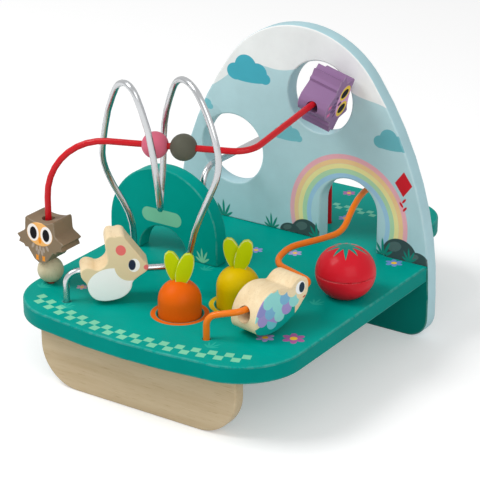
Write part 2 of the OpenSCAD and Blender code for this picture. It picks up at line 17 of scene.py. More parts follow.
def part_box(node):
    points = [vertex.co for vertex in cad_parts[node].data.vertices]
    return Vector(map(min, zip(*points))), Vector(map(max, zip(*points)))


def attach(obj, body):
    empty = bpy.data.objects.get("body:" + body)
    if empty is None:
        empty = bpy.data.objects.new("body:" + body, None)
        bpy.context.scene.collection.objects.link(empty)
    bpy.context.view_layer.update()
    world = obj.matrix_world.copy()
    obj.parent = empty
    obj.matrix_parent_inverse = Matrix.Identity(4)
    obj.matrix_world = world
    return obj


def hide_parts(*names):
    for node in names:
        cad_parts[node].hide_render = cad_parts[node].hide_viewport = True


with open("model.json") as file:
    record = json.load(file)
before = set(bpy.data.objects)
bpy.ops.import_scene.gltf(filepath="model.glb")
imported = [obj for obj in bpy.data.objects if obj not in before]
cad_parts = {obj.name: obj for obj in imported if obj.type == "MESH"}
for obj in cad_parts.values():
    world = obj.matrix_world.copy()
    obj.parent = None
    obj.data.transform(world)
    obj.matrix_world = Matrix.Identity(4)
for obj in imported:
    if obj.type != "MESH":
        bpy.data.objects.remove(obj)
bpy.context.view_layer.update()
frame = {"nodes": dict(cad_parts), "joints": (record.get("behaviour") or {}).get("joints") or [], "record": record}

MM = 0.001

# %% [markdown]
# ## Camera
# The toy is seen from the front right, a little from above, through a long lens, so
# that its boards stay nearly parallel. The camera's place, aim and lens follow the
# photograph's viewing angle, and are typed in millimetres like the solids.

# %% Make the camera
SENSOR_WIDTH, LENS = 36.0, 145.1
camera_place = Vector((848.5, -1377.9, 733.5)) * MM
camera_aim = Vector((-58.17, -14.27, 53.22)) * MM


def in_scene(name, data):
    """A new object in the scene that shows the data."""
    made = bpy.data.objects.new(name, data)
    bpy.context.scene.collection.objects.link(made)
    return made


def aimed(place, aim):
    """The turn of a camera or a lamp that stands at place and looks at aim."""
    return (Vector(aim) - Vector(place)).to_track_quat("-Z", "Y").to_euler()


camera = in_scene("camera", bpy.data.cameras.new("camera"))
camera.data.sensor_width = SENSOR_WIDTH
camera.data.lens = LENS
camera.location = camera_place
camera.rotation_euler = aimed(camera_place, camera_aim)
bpy.context.scene.camera = camera
print("camera distance in mm:", round((camera_aim - camera_place).length / MM))

# %% [markdown]
# ## Small helpers for node trees
# Every finish below is a tree of shader nodes. Writing each link by hand is long, so
# a few helpers make a node, do sums on values and vectors, and lay one colour over
# another. An input that is given an output socket is linked to it, and anything else
# is typed in.

# %% Helpers for nodes and colours
def paint(red, green, blue):
    """A colour as a paint chart gives it, 0 to 255, turned into Blender's linear values."""
    chart = [c / 255 for c in (red, green, blue)]
    linear = [c / 12.92 if c <= 0.04045 else ((c + 0.055) / 1.055) ** 2.4 for c in chart]
    return (*linear, 1.0)


def feed(tree, made, inputs):
    """Links or types each of a node's inputs."""
    for key, value in inputs.items():
        if isinstance(value, bpy.types.NodeSocket):
            tree.links.new(value, made.inputs[key])
        else:
            made.inputs[key].default_value = value


def node(tree, kind, inputs=None, **settings):
    """A new node in a tree, with its settings made first and its inputs fed after."""
    made = tree.nodes.new(kind)
    for key, value in settings.items():
        setattr(made, key, value)
    feed(tree, made, inputs or {})
    return made


def new_finish(name):
    """A new material, with its node tree and its main shader."""
    finish = bpy.data.materials.new(name)
    finish.use_nodes = True
    return finish, finish.node_tree, finish.node_tree.nodes["Principled BSDF"]


def over(tree, under, mask, colour):
    """A colour laid over another where the mask is 1."""
    return node(tree, "ShaderNodeMix", {0: mask, 6: under, 7: colour}, data_type="RGBA").outputs[2]


print("mid grey as linear values:", [round(v, 3) for v in paint(128, 128, 128)])

# %% Helpers for sums
def sum_of(tree, operation, a, b=0.0, c=0.0):
    """One step of arithmetic on values."""
    return node(tree, "ShaderNodeMath", {0: a, 1: b, 2: c}, operation=operation).outputs[0]


def vector_sum(tree, operation, a, b=(0, 0, 0)):
    """One step of arithmetic on vectors."""
    made = node(tree, "ShaderNodeVectorMath", {0: a, 1: b}, operation=operation)
    return made.outputs["Value" if operation in ("DOT_PRODUCT", "LENGTH", "DISTANCE") else "Vector"]


def scaled(tree, vector, factor):
    """A vector made longer by a factor."""
    made = node(tree, "ShaderNodeVectorMath", {0: vector, "Scale": factor}, operation="SCALE")
    return made.outputs["Vector"]


def split(tree, vector):
    """The X, Y and Z of a vector."""
    return node(tree, "ShaderNodeSeparateXYZ", {0: vector}).outputs


def joined(tree, x, y):
    """A flat vector with the given X and Y."""
    return node(tree, "ShaderNodeCombineXYZ", {0: x, 1: y}).outputs[0]


def distance(tree, across, up):
    """The length of a step across and a step up."""
    squares = [sum_of(tree, "MULTIPLY", step, step) for step in (across, up)]
    return sum_of(tree, "SQRT", sum_of(tree, "ADD", *squares))


print("sums are done by:", sum_of.__name__, vector_sum.__name__, scaled.__name__)

# %% Helpers for ranges and noise
def spread(tree, value, low=0.0, high=1.0, to_low=0.0, to_high=1.0, kind="LINEAR"):
    """The values from low to high spread over another range, and held at its ends."""
    ends = {"From Min": low, "From Max": high, "To Min": to_low, "To Max": to_high}
    made = node(tree, "ShaderNodeMapRange", {"Value": value, **ends}, interpolation_type=kind)
    return made.outputs["Result"]


def step_down(tree, value, soft=0.3):
    """1 where value is below zero and 0 above, with a soft edge."""
    return spread(tree, value, -soft, soft, 1.0, 0.0, "SMOOTHSTEP")


def noise(tree, spot, scale, detail, rough=0.5, distortion=0.0):
    """A cloudy value between 0 and 1, finer with a larger scale."""
    made = node(tree, "ShaderNodeTexNoise", {"Vector": spot, "Scale": scale, "Detail": detail,
                                             "Roughness": rough, "Distortion": distortion})
    return made.outputs["Fac"]


print("ranges are done by:", spread.__name__, step_down.__name__, noise.__name__)

# %% [markdown]
# ## Floor and light
# A product picture has a plain pale floor and large soft lamps. The floor is one wide
# sheet. It is lit like the toy, so it keeps the toy's shadow, and only where the
# camera or a shiny wire looks at it does a little extra light lift it to white.

# %% Lay the floor
# Half the floor's width, and how far it lies below the toy, in metres.
FLOOR_HALF, FLOOR_DROP = 9.0, 0.0002
floor_mesh = bpy.data.meshes.new("floor")
sheet = bmesh.new()
bmesh.ops.create_grid(sheet, x_segments=1, y_segments=1, size=FLOOR_HALF)
sheet.to_mesh(floor_mesh)
sheet.free()
floor = in_scene("floor", floor_mesh)
floor.location.z = -FLOOR_DROP
print("floor:", [round(v, 1) for v in floor.dimensions])

# %% Finish the floor
FLOOR_TINT, FLOOR_ROUGH, FLOOR_GLOW = (0.86, 0.86, 0.86, 1), 0.9, 0.27


def seen_directly(tree):
    """1 where the camera or a shiny surface looks, and 0 for light that only bounces about."""
    ray = node(tree, "ShaderNodeLightPath").outputs
    return sum_of(tree, "MAXIMUM", ray["Is Camera Ray"], ray["Is Glossy Ray"])


floor_finish, tree, shader = new_finish("floor_finish")
feed(tree, shader, {"Base Color": FLOOR_TINT, "Roughness": FLOOR_ROUGH, "Specular IOR Level": 0.0})
lift = sum_of(tree, "MULTIPLY", seen_directly(tree), FLOOR_GLOW)
glow = node(tree, "ShaderNodeEmission", {"Strength": lift})
lit_floor = node(tree, "ShaderNodeAddShader", {0: shader.outputs[0], 1: glow.outputs[0]})
feed(tree, tree.nodes["Material Output"], {"Surface": lit_floor.outputs[0]})
floor_mesh.materials.append(floor_finish)
print("floor finish:", floor_finish.name)

# %% Set the lamps and the room light
WHITE = (1, 1, 1, 1)
# The room's light as it falls on the toy, and as the camera and shiny wires see it.
ROOM_ON_TOY, ROOM_SEEN = 0.5, 0.8
TOY_MIDDLE = (0, -0.1, 0.1)
world = bpy.data.worlds.new("room")
bpy.context.scene.world = world
world.use_nodes = True
room = world.node_tree
room_level = spread(room, seen_directly(room), to_low=ROOM_ON_TOY, to_high=ROOM_SEEN)
feed(room, room.nodes["Background"], {"Color": WHITE, "Strength": room_level})


def soft_lamp(name, place, size, power):
    """A square lamp at place that shines at the toy."""
    lamp = in_scene(name, bpy.data.lights.new(name, "AREA"))
    lamp.data.size = size
    lamp.data.energy = power
    lamp.location = place
    lamp.rotation_euler = aimed(place, TOY_MIDDLE)


soft_lamp("key_lamp", place=(-1.1, -1.0, 1.9), size=1.1, power=29)
soft_lamp("fill_lamp", place=(1.6, -1.3, 1.1), size=1.6, power=15)
bpy.context.scene.view_settings.view_transform = "Standard"

# %% [markdown]
# ## Node groups
# A film of paint, the grain of bare wood or the outline of a printed leaf serves many
# pieces. Each is built once as a node group with named inputs and outputs, and is
# then placed in a finish with that finish's own values.

# %% Helpers for node groups
VALUE, VECTOR, COLOUR = "NodeSocketFloat", "NodeSocketVector", "NodeSocketColor"


def shader_group(name, inputs, outputs):
    """A node group with nothing in it yet: the group, its inputs and its end node."""
    group = bpy.data.node_groups.new(name, "ShaderNodeTree")
    for label, kind, value in inputs:
        group.interface.new_socket(label, in_out="INPUT", socket_type=kind).default_value = value
    for label, kind in outputs:
        group.interface.new_socket(label, in_out="OUTPUT", socket_type=kind)
    return group, group.nodes.new("NodeGroupInput").outputs, group.nodes.new("NodeGroupOutput")


def placed(tree, group, inputs):
    """A node group set into a tree with its own values."""
    return node(tree, "ShaderNodeGroup", inputs, node_tree=group).outputs


print("socket kinds:", VALUE, VECTOR, COLOUR)

# %% [markdown]
# ## Softened boards
# The real boards are sawn, sanded and painted, so no edge is knife sharp. A Bevel
# modifier could round them, but the solids are loose triangles. So a copy of each
# solid is merged into one skin, its flat faces are joined again and its outer edges
# are rounded with the bevel operator. The rounded strips carry a mark named "rim",
# which the paint uses to lighten them there, as rubbed wear and as a painted highlight.
# On the sawn animals and leaves only the outline of the flat faces is rounded, and
# outline edges that are shorter than the rounding are closed first, so that no strip
# folds over its neighbour.

# %% Merge a solid and round its edges
# Corners nearer than MERGE become one, and outline edges shorter than CLOSE are closed.
MERGE, CLOSE = 2e-6, 0.8 * MM
# Faces that meet at less than FLAT_TURN are joined. Edges past ROUND_TURN are rounded,
# and edges still past SHARP_TURN after that are shaded sharp.
FLAT_TURN, ROUND_TURN, SHARP_TURN = math.radians(0.8), math.radians(38.0), math.radians(35.0)
ROUND_STEPS = 3


def join_flats(shape):
    """Joins the triangles of each flat face."""
    bmesh.ops.dissolve_limit(shape, angle_limit=FLAT_TURN, verts=shape.verts, edges=shape.edges)


def merged_skin(solid):
    """A solid's loose triangles as one skin of larger faces."""
    shape = bmesh.new()
    shape.from_mesh(solid.data)
    bmesh.ops.remove_doubles(shape, verts=shape.verts, dist=MERGE)
    join_flats(shape)
    return shape


def flat_outline(shape, flats):
    """The edges round a skin's largest faces, in the skin's own order."""
    largest = set(sorted(shape.faces, key=lambda face: face.calc_area())[-flats:])
    return [edge for edge in shape.edges if largest.intersection(edge.link_faces)]


def round_edges(shape, rim, flats):
    """Rounds a skin's outer edges, or only those round its largest faces; returns the new strips."""
    rounds = shape.edges
    if flats:
        short = [e for e in flat_outline(shape, flats) if e.calc_length() < CLOSE]
        bmesh.ops.collapse(shape, edges=short)
        join_flats(shape)
        rounds = flat_outline(shape, flats)
    outer = [e for e in rounds if e.is_manifold and e.is_convex]
    edges = [e for e in outer if e.calc_face_angle() > ROUND_TURN]
    made = bmesh.ops.bevel(shape, geom=edges, offset=rim * MM, offset_type="OFFSET", segments=ROUND_STEPS,
                           profile=0.5, affect="EDGES", clamp_overlap=False, material=-1)
    return made["faces"]


print("turns in degrees:", [round(math.degrees(a), 1) for a in (FLAT_TURN, ROUND_TURN, SHARP_TURN)])

# %% Replace the solids with their softened copies
# Faces smaller than this, in square metres, are shaded smooth.
SMOOTH_AREA = 4e-4
bodies = frame["record"]["behaviour"]["bodies"]
body_of_node = {name: body for body, names in bodies.items() for name in names}
rim_sizes = {
    "deck": 1.6, "back_panel": 1.4, "front_foot": 1.4, "tunnel_arch": 1.2,
    "brown_owl": 0.7, "purple_owl": 0.7, "bunny": 0.9, "bird": 0.9,
    "cream_bead": 0.5, "pink_bead": 0.5, "grey_bead": 0.5,
    "carrot_body": 0.5, "turnip_body": 0.5, "carrot_leaves": 0.7, "turnip_leaves": 0.7,
    "tomato_base": 0.6, "tomato_top": 0.6,
    "red_wire": 0.0, "loop_wire": 0.0, "back_wire": 0.0, "orange_wire": 0.0,
}
flat_faces = {"brown_owl": 2, "purple_owl": 2, "bunny": 2, "bird": 2, "carrot_leaves": 4, "turnip_leaves": 4}


def softened(node_name, rim):
    """A merged copy of a solid with its outer edges rounded; it replaces the solid."""
    shape = merged_skin(frame["nodes"][node_name])
    rim_mark = shape.loops.layers.float.new("rim")
    strips = round_edges(shape, rim, flat_faces.get(node_name, 0)) if rim else []
    for face in strips:
        for corner in face.loops:
            corner[rim_mark] = 1.0
    for face in shape.faces:
        face.smooth = face.calc_area() < SMOOTH_AREA
    for edge in shape.edges:
        edge.smooth = not (edge.is_manifold and edge.calc_face_angle(0.0) > SHARP_TURN)
    mesh = bpy.data.meshes.new(node_name + "_softened")
    shape.to_mesh(mesh)
    shape.free()
    if "custom_normal" in mesh.attributes:
        mesh.attributes.remove(mesh.attributes["custom_normal"])
    piece = in_scene(node_name + "_piece", mesh)
    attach(piece, body_of_node[node_name])
    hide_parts(node_name)
    return piece


pieces = {name: softened(name, rim) for name, rim in rim_sizes.items()}
print("softened:", {name: len(piece.data.polygons) for name, piece in pieces.items()})

# %% [markdown]
# ## Paint film
# Satin paint on wood is not one flat colour: it is a little thicker here and thinner
# there, and it shows the wood's pores as a fine relief. Along the edges it is painted
# lighter, partly as rubbed wear and partly as a painted highlight on the rounded rims.
# A plain shader gives none of that, so one node group adds all of it, and each
# painted piece feeds it a colour.

# %% Paint film group
# How much the roughness varies over the film, and how much rougher a rubbed place is.
ROUGH_SWING, WORN_ROUGH = 0.12, 0.15
# The rims are lightened towards this tint, as rubbed wear and as a painted highlight.
RIM_WEAR_AND_HIGHLIGHT_TINT, RIM_WEAR_AND_HIGHLIGHT_SHARE = (0.9, 0.9, 0.87, 1), 0.55
paint_film, given, end = shader_group(
    "paint_film",
    [("Colour", COLOUR, (0.5, 0.5, 0.5, 1)), ("Rough", VALUE, 0.4), ("Wear and highlight", VALUE, 0.5)],
    [("Colour", COLOUR), ("Roughness", VALUE), ("Height", VALUE)])
spot = node(paint_film, "ShaderNodeTexCoord").outputs["Object"]
cloudy = noise(paint_film, spot, scale=26.0, detail=4.0, rough=0.55)
along_grain = vector_sum(paint_film, "MULTIPLY", spot, (0.12, 1.0, 1.0))
pores = noise(paint_film, along_grain, scale=900.0, detail=3.0, rough=0.6)
orange_peel = noise(paint_film, spot, scale=1700.0, detail=2.0)
rim_here = node(paint_film, "ShaderNodeAttribute", attribute_name="rim").outputs["Fac"]
scuffs = noise(paint_film, spot, scale=140.0, detail=5.0, rough=0.7)
# The rims are scuffed lighter: rubbed wear, and a painted highlight along the edges.
scuffed_and_highlit_rim = sum_of(paint_film, "MULTIPLY", rim_here, spread(paint_film, scuffs, low=0.38, high=0.68))
rim_wear_and_highlight = sum_of(paint_film, "MULTIPLY", scuffed_and_highlit_rim, given["Wear and highlight"])
tone = spread(paint_film, cloudy, low=0.3, high=0.7, to_low=0.94, to_high=1.05)
shade = node(paint_film, "ShaderNodeHueSaturation", {"Value": tone, "Color": given["Colour"]})
wear_and_highlight_colour = over(paint_film, given["Colour"], RIM_WEAR_AND_HIGHLIGHT_SHARE, RIM_WEAR_AND_HIGHLIGHT_TINT)
rough_here = sum_of(paint_film, "MULTIPLY_ADD", cloudy, ROUGH_SWING, given["Rough"])
feed(paint_film, end, {"Colour": over(paint_film, shade.outputs["Color"], rim_wear_and_highlight, wear_and_highlight_colour),
                       "Roughness": sum_of(paint_film, "MULTIPLY_ADD", rim_wear_and_highlight, WORN_ROUGH, rough_here),
                       "Height": sum_of(paint_film, "MULTIPLY_ADD", orange_peel, 0.5, pores)})
print("paint film nodes:", len(paint_film.nodes))

# %% Make a painted finish
RELIEF_DEPTH, COAT_ROUGH = 0.4 * MM, 0.12


def fine_relief(tree, height, strength, depth=RELIEF_DEPTH):
    """A normal that follows a fine relief."""
    made = node(tree, "ShaderNodeBump", {"Strength": strength, "Distance": depth, "Height": height})
    return made.outputs["Normal"]


def painted(name, colour, rough, wear_and_highlight=0.5, coat=0.0, relief=0.18, gloss=0.07, artwork=None):
    """A painted finish; artwork, if given, prints over the colour and returns the new one."""
    finish, tree, shader = new_finish(name)
    printed = artwork(tree, colour) if artwork else colour
    # The wear share lightens the rims both as rubbed wear and as a painted highlight.
    film = placed(tree, paint_film, {"Colour": printed, "Rough": rough - ROUGH_SWING / 2, "Wear and highlight": wear_and_highlight})
    feed(tree, shader, {"Base Color": film["Colour"], "Roughness": film["Roughness"],
                        "Normal": fine_relief(tree, film["Height"], relief),
                        "Specular IOR Level": gloss, "Coat Weight": coat, "Coat Roughness": COAT_ROUGH})
    return finish


def dress(names, finish):
    """Gives the named pieces their finish."""
    for name in names:
        pieces[name].data.materials.append(finish)
    print(finish.name, "on", ", ".join(names))


print("paint relief in mm:", round(RELIEF_DEPTH / MM, 2))

# %% [markdown]
# ## Bare wood
# The foot and the sides of the bunny and the bird show clear-coated pale wood. Its
# look is long streaks along the grain, wide soft bands from the growth rings and
# short dark pores. A picture of wood would repeat or stretch on the sawn shapes, so
# three noise textures, drawn out along the grain, give these at their own scales.

# %% Bare wood group
PORE_TINT = paint(150, 118, 76)
bare_wood, given, end = shader_group(
    "bare_wood",
    [("Pale", COLOUR, paint(236, 214, 172)), ("Dark", COLOUR, paint(206, 176, 128)),
     ("Stretch", VECTOR, (1, 1, 1))],
    [("Colour", COLOUR), ("Roughness", VALUE), ("Height", VALUE)])
spot = node(bare_wood, "ShaderNodeTexCoord").outputs["Object"]
long_spot = vector_sum(bare_wood, "MULTIPLY", spot, given["Stretch"])
bands = noise(bare_wood, long_spot, scale=55.0, detail=3.0, distortion=0.6)
streaks = noise(bare_wood, long_spot, scale=320.0, detail=4.0, rough=0.6)
pores = noise(bare_wood, long_spot, scale=1300.0, detail=2.0)
grain = sum_of(bare_wood, "MULTIPLY_ADD", bands, 0.75, sum_of(bare_wood, "MULTIPLY", streaks, 0.5))
dark = spread(bare_wood, grain, low=0.45, high=0.85)
fleck = spread(bare_wood, pores, low=0.62, high=0.75, to_high=0.35)
wood_tone = over(bare_wood, given["Pale"], dark, given["Dark"])
feed(bare_wood, end, {"Colour": over(bare_wood, wood_tone, fleck, PORE_TINT),
                      "Roughness": sum_of(bare_wood, "MULTIPLY_ADD", streaks, 0.2, 0.38),
                      "Height": sum_of(bare_wood, "MULTIPLY_ADD", pores, 0.6, streaks)})
print("bare wood nodes:", len(bare_wood.nodes))

# %% Make a clear wood finish
WOOD_RELIEF, WOOD_GLOSS = 0.15, 0.12


def clear_wood(name, pale, dark, stretch, artwork=None):
    """Clear-coated wood; artwork, if given, prints over it."""
    finish, tree, shader = new_finish(name)
    wood = placed(tree, bare_wood, {"Pale": pale, "Dark": dark, "Stretch": stretch})
    colour = artwork(tree, wood["Colour"]) if artwork else wood["Colour"]
    feed(tree, shader, {"Base Color": colour, "Roughness": wood["Roughness"],
                        "Normal": fine_relief(tree, wood["Height"], WOOD_RELIEF),
                        "Specular IOR Level": WOOD_GLOSS})
    return finish


print("clear wood gloss:", WOOD_GLOSS)

# %% [markdown]
# ## Printing shapes
# The toy's prints are simple flat shapes: dots, flowers, clouds, tufts of grass and
# checked borders. A picture could be wrapped on each board, but a shader can draw
# such shapes without any file and keeps their edges sharp. First a place in
# millimetres is measured on the printed face, then a mask is worked out from it.
# Clouds, tufts, bushes and most marks on the animals are built from one oval group.

# %% Place on a printed face
RIGHT, BACK, UP, FRONT = (1, 0, 0), (0, 1, 0), (0, 0, 1), (0, -1, 0)
MIDDLE = (0, 0, 0)
# A print reaches this many millimetres down from its face, over the rounded rim.
PRINT_DEPTH = 0.6
face_place, given, end = shader_group(
    "face_place",
    [("Origin", VECTOR, MIDDLE), ("Across", VECTOR, RIGHT), ("Up", VECTOR, UP), ("Out", VECTOR, FRONT)],
    [("Place", VECTOR), ("Depth", VALUE)])
spot = node(face_place, "ShaderNodeTexCoord").outputs["Object"]
off = scaled(face_place, vector_sum(face_place, "SUBTRACT", spot, given["Origin"]), 1 / MM)
across, up, out = [vector_sum(face_place, "DOT_PRODUCT", off, given[way]) for way in ("Across", "Up", "Out")]
feed(face_place, end, {"Place": joined(face_place, across, up), "Depth": out})


def printed_face(tree, origin, across, up, out, depth=-PRINT_DEPTH):
    """The place on a flat face in millimetres, and a mask that is 1 on that face only."""
    face = placed(tree, face_place, {"Origin": origin, "Across": across, "Up": up, "Out": out})
    return face["Place"], sum_of(tree, "GREATER_THAN", face["Depth"], depth)


def printer(tree, area):
    """Returns a function that prints a tint over a colour where a mask is 1, on one area only."""
    def lay(under, mask, tint):
        """The colour under the print, with the tint over it."""
        return over(tree, under, sum_of(tree, "MULTIPLY", mask, area), tint)
    return lay


print("group:", face_place.name, "with", len(face_place.nodes), "nodes")

# %% Oval
OVAL_EDGE = 0.25
oval, given, end = shader_group(
    "oval",
    [("Place", VECTOR, MIDDLE), ("Centre", VECTOR, MIDDLE),
     ("Radii", VECTOR, (1, 1, 1)), ("Turn", VALUE, 0.0)],
    [("Mask", VALUE)])
moved = vector_sum(oval, "SUBTRACT", given["Place"], given["Centre"])
turn_back = sum_of(oval, "MULTIPLY", given["Turn"], -1.0)
turned = node(oval, "ShaderNodeVectorRotate", {"Vector": moved, "Angle": turn_back}, rotation_type="Z_AXIS")
reach = vector_sum(oval, "LENGTH", vector_sum(oval, "DIVIDE", turned.outputs[0], given["Radii"]))
radii = split(oval, given["Radii"])
smaller = sum_of(oval, "MINIMUM", radii[0], radii[1])
edge = sum_of(oval, "MULTIPLY", sum_of(oval, "SUBTRACT", reach, 1.0), smaller)
feed(oval, end, {"Mask": step_down(oval, edge, OVAL_EDGE)})


def with_ovals(tree, lay, place, colour, shapes):
    """A colour with ovals printed on it in turn, each with a centre, radii, a turn and a tint."""
    for centre, radii, turn, tint in shapes:
        shape = {"Place": place, "Centre": (*centre, 0), "Radii": (*radii, 1), "Turn": turn}
        colour = lay(colour, placed(tree, oval, shape)["Mask"], tint)
    return colour


print("group:", oval.name, "with", len(oval.nodes), "nodes")

# %% Flower and star
PETALS, STAR_POINTS = 6, 9


def polar(tree, place, centre):
    """Distance and angle of a place about a centre."""
    across, up = split(tree, vector_sum(tree, "SUBTRACT", place, centre))[:2]
    return vector_sum(tree, "DISTANCE", place, centre), sum_of(tree, "ARCTAN2", up, across)


flower, given, end = shader_group(
    "flower",
    [("Place", VECTOR, MIDDLE), ("Centre", VECTOR, MIDDLE), ("Reach", VALUE, 7.0)],
    [("Petals", VALUE), ("Heart", VALUE)])
out, angle = polar(flower, given["Place"], given["Centre"])
wave = sum_of(flower, "COSINE", sum_of(flower, "MULTIPLY", angle, PETALS / 2))
petal_share = sum_of(flower, "MULTIPLY_ADD", sum_of(flower, "ABSOLUTE", wave), 0.45, 0.55)
petal_edge = sum_of(flower, "MULTIPLY", petal_share, given["Reach"])
heart_edge = sum_of(flower, "MULTIPLY", given["Reach"], 0.32)
feed(flower, end, {"Petals": step_down(flower, sum_of(flower, "SUBTRACT", out, petal_edge)),
                   "Heart": step_down(flower, sum_of(flower, "SUBTRACT", out, heart_edge))})

star, given, end = shader_group(
    "star",
    [("Place", VECTOR, MIDDLE), ("Centre", VECTOR, MIDDLE), ("Reach", VALUE, 14.0)],
    [("Mask", VALUE)])
out, angle = polar(star, given["Place"], given["Centre"])
points = sum_of(star, "PINGPONG", sum_of(star, "MULTIPLY", angle, STAR_POINTS / (2 * math.pi)), 0.5)
points = sum_of(star, "POWER", sum_of(star, "MULTIPLY", points, 2.0), 1.6)
# The leaves' points differ in length, as painted leaves do.
sway = sum_of(star, "SINE", sum_of(star, "MULTIPLY_ADD", angle, 4.0, 0.6))
points = sum_of(star, "MULTIPLY", points, sum_of(star, "MULTIPLY_ADD", sway, 0.16, 0.84))
star_edge = sum_of(star, "MULTIPLY", sum_of(star, "MULTIPLY_ADD", points, 0.66, 0.34), given["Reach"])
feed(star, end, {"Mask": step_down(star, sum_of(star, "SUBTRACT", out, star_edge))})
print("groups:", flower.name, star.name)

# %% Cloud, made of ovals
puffs = [((-0.29, -0.05), (0.2, 0.17), 0), ((-0.06, 0.08), (0.25, 0.24), 0), ((0.22, 0.0), (0.21, 0.19), 0),
         ((0.38, -0.1), (0.13, 0.11), 0), ((0.0, -0.13), (0.46, 0.1), 0)]


def many_ovals(group, place, anchor, size, ovals):
    """The union of several ovals given as shares of one size about an anchor."""
    whole = None
    for (x, y), (rx, ry), turn in ovals:
        shape = {"Place": place, "Centre": vector_sum(group, "ADD", anchor, scaled(group, (x, y, 0), size)),
                 "Radii": scaled(group, (rx, ry, 1), size), "Turn": turn}
        mask = placed(group, oval, shape)["Mask"]
        whole = mask if whole is None else sum_of(group, "MAXIMUM", whole, mask)
    return whole


cloud, given, end = shader_group(
    "cloud",
    [("Place", VECTOR, MIDDLE), ("Centre", VECTOR, MIDDLE), ("Width", VALUE, 40.0)],
    [("Mask", VALUE)])
feed(cloud, end, {"Mask": many_ovals(cloud, given["Place"], given["Centre"], given["Width"], puffs)})
print("group:", cloud.name, "with", len(cloud.nodes), "nodes")

# %% Grass tuft, made of ovals
blade_leans = [(-58, 0.62), (-30, 0.85), (-4, 1.0), (24, 0.9), (54, 0.65)]
BLADE_WIDTH = 0.075


def blade(lean, length):
    """One leaning blade of grass with its foot at the anchor."""
    turn = math.radians(lean)
    half = length / 2
    return (math.sin(turn) * half, math.cos(turn) * half), (BLADE_WIDTH, half), -turn


tuft, given, end = shader_group(
    "tuft",
    [("Place", VECTOR, MIDDLE), ("Foot", VECTOR, MIDDLE), ("Height", VALUE, 12.0)],
    [("Mask", VALUE)])
blades = [blade(lean, length) for lean, length in blade_leans]
feed(tuft, end, {"Mask": many_ovals(tuft, given["Place"], given["Foot"], given["Height"], blades)})


def tuft_mask(tree, place, x, y, height):
    """A tuft of grass of some height with its foot at a place."""
    return placed(tree, tuft, {"Place": place, "Foot": (x, y, 0), "Height": height})["Mask"]


print("group:", tuft.name, "with", len(tuft.nodes), "nodes")

# %% Checked border
checks, given, end = shader_group(
    "checks",
    [("Along", VALUE, 0.0), ("Across", VALUE, 0.0), ("Cell", VALUE, 7.0),
     ("Half length", VALUE, 100.0)],
    [("Mask", VALUE)])
column = sum_of(checks, "FLOOR", sum_of(checks, "DIVIDE", given["Along"], given["Cell"]))
row = sum_of(checks, "FLOOR", sum_of(checks, "DIVIDE", given["Across"], given["Cell"]))
odd = sum_of(checks, "FLOORED_MODULO", sum_of(checks, "ADD", column, row), 2.0)
# Rows 0 and 1 are the only ones within 0.6 of 0.5.
in_two_rows = sum_of(checks, "COMPARE", row, 0.5, 0.6)
from_middle = sum_of(checks, "MULTIPLY_ADD", given["Cell"], -0.5, given["Along"])
in_length = sum_of(checks, "LESS_THAN", sum_of(checks, "ABSOLUTE", from_middle), given["Half length"])
in_border = sum_of(checks, "MULTIPLY", in_two_rows, in_length)
feed(checks, end, {"Mask": sum_of(checks, "MULTIPLY", odd, in_border)})
print("group:", checks.name, "with", len(checks.nodes), "nodes")

# %% Scale pattern, as round tiles in rows that overlap
ROW_STEP, TILE_REACH = 0.62, 0.53
scales, given, end = shader_group(
    "scales",
    [("Place", VECTOR, MIDDLE), ("Cell", VALUE, 8.0)],
    [("Pick", VALUE), ("Middle", VECTOR)])
grid = split(scales, scaled(scales, given["Place"], sum_of(scales, "DIVIDE", 1.0, given["Cell"])))


def tile_column(line):
    """The column in a row of tiles, with every second row moved by half a tile."""
    return sum_of(scales, "MULTIPLY_ADD", sum_of(scales, "FLOORED_MODULO", line, 2.0), 0.5, grid[0])


def chosen(pick, low, high):
    """The low value, or the high one where pick is 1."""
    return node(scales, "ShaderNodeMix", {0: pick, 2: low, 3: high}, data_type="FLOAT").outputs[0]


upper_line = sum_of(scales, "CEIL", sum_of(scales, "DIVIDE", grid[1], ROW_STEP))
upper_column = tile_column(upper_line)
side = sum_of(scales, "SUBTRACT", sum_of(scales, "FRACT", upper_column), 0.5)
rise = sum_of(scales, "SUBTRACT", sum_of(scales, "MULTIPLY", upper_line, ROW_STEP), grid[1])
in_upper = sum_of(scales, "LESS_THAN", distance(scales, side, rise), TILE_REACH)
lower_line = sum_of(scales, "SUBTRACT", upper_line, 1.0)
line = chosen(in_upper, lower_line, upper_line)
column = sum_of(scales, "FLOOR", chosen(in_upper, tile_column(lower_line), upper_column))
lot = node(scales, "ShaderNodeTexWhiteNoise", {"Vector": joined(scales, column, line)}, noise_dimensions="2D")
shift = sum_of(scales, "MULTIPLY_ADD", sum_of(scales, "FLOORED_MODULO", line, 2.0), -0.5, 0.5)
tile_middle = joined(scales, sum_of(scales, "ADD", column, shift), sum_of(scales, "MULTIPLY", line, ROW_STEP))
feed(scales, end, {"Pick": lot.outputs["Value"], "Middle": scaled(scales, tile_middle, given["Cell"])})
print("group:", scales.name, "with", len(scales.nodes), "nodes")

# %% [markdown]
# ## Deck
# The deck is a teal board with a bowed front, and its sides are a darker teal as
# painted shade. Small printed flowers, a double checked border along the bow, a checked
# row on the shelf and coloured rings round the two vegetables lie on its top face only.
# The border follows the bow because its place is measured as an angle about the bow's
# centre.

# %% Where the deck's prints lie, in millimetres
# The deck's sides take a darker teal than its top, as painted shade.
TEAL, SHADED_TEAL_SIDE = paint(0, 157, 144), paint(0, 137, 127)
teal_film = {"rough": 0.4, "wear_and_highlight": 0.14, "gloss": 0.02}
